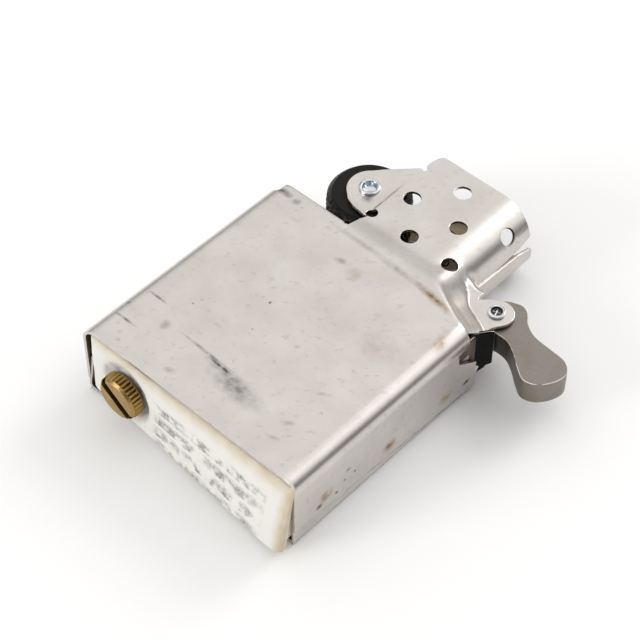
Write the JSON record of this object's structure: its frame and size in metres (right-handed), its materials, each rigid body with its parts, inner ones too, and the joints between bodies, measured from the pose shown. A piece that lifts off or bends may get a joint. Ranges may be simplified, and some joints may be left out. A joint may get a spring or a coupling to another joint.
{
  "type": "petrol lighter insert",
  "caption": "Windproof petrol lighter insert: flat steel body, perforated chimney, flint wheel, swinging lid cam lever, slotted brass flint screw and lifting felt flap.",
  "frame": {"origin": "middle of the back panel's outer face, on which the part lies", "axes": "+Z out of the front panel, +Y from the felt end to the chimney top, +X toward the lid cam side"},
  "size_m": [0.0462, 0.0553, 0.0118],
  "materials": {
    "stainless": "satin stainless strip",
    "brass": "turned, a little tarnished",
    "spring_steel": "drawn wire",
    "flint": "pressed and sintered",
    "wheel_steel": "blackened hardened steel",
    "rivet_zinc": "bright zinc plate",
    "lever_steel": "tumbled brown-grey steel",
    "blued_steel": "blued spring steel",
    "wick": "braided glass and cotton",
    "copper": "drawn copper wire",
    "cotton": "loose cotton",
    "felt": "pressed white felt"
  },
  "bodies": {
    "casing": {"front_shell": "stainless", "rear_shell": "stainless", "deck_plate": "stainless", "flint_tube": "brass", "tube_ferrule": "brass", "wheel_rivet": "rivet_zinc", "cam_rivet": "rivet_zinc", "cam_spring": "blued_steel", "wick": "wick", "wick_wire": "copper", "cotton_wad_1": "cotton", "cotton_wad_2": "cotton", "cotton_wad_3": "cotton", "cotton_wad_4": "cotton", "cotton_wad_5": "cotton", "cotton_wad_6": "cotton", "felt_pad": "felt"},
    "wheel": {"flint_wheel": "wheel_steel"},
    "cam": {"cam_lever": "lever_steel"},
    "screw_carriage": {"flint_spring": "spring_steel"},
    "screw": {"flint_screw": "brass"},
    "flint_follower": {"flint": "flint", "flint_pusher": "brass"},
    "felt_flap": {"felt_flap": "felt"}
  },
  "joints": [
    {"name": "wheel_spin", "type": "hinge", "parent": "casing", "child": "wheel", "pos_m": [-0.0085, 0.025, 0.0059], "axis": [0, 0, 1], "continuous": true},
    {"name": "cam_pivot", "type": "hinge", "parent": "casing", "child": "cam", "pos_m": [0.0162, 0.02115, 0.0059], "axis": [0, 0, 1], "range_deg": [0, 92]},
    {"name": "screw_travel", "type": "slide", "parent": "casing", "child": "screw_carriage", "axis": [0, -1, 0], "range_m": [0, 0.004]},
    {"name": "screw_turn", "type": "hinge", "parent": "screw_carriage", "child": "screw", "pos_m": [-0.0099, -0.0172, 0.0059], "axis": [0, -1, 0], "range_deg": [0, 2880]},
    {"name": "flint_feed", "type": "slide", "parent": "casing", "child": "flint_follower", "axis": [0, 1, 0], "range_m": [-0.0015, 0], "stiffness_N_per_m": 200, "springref_m": 0.004, "deforming": ["flint_spring"]},
    {"name": "felt_flap_lift", "type": "hinge", "parent": "casing", "child": "felt_flap", "pos_m": [-0.0054, -0.0185, 0.0059], "axis": [0, 0, -1], "range_deg": [0, 70]}
  ],
  "couplings": [
    {"joint": "screw_turn", "follows": "screw_travel", "rad_per_m": 12566}
  ]
}
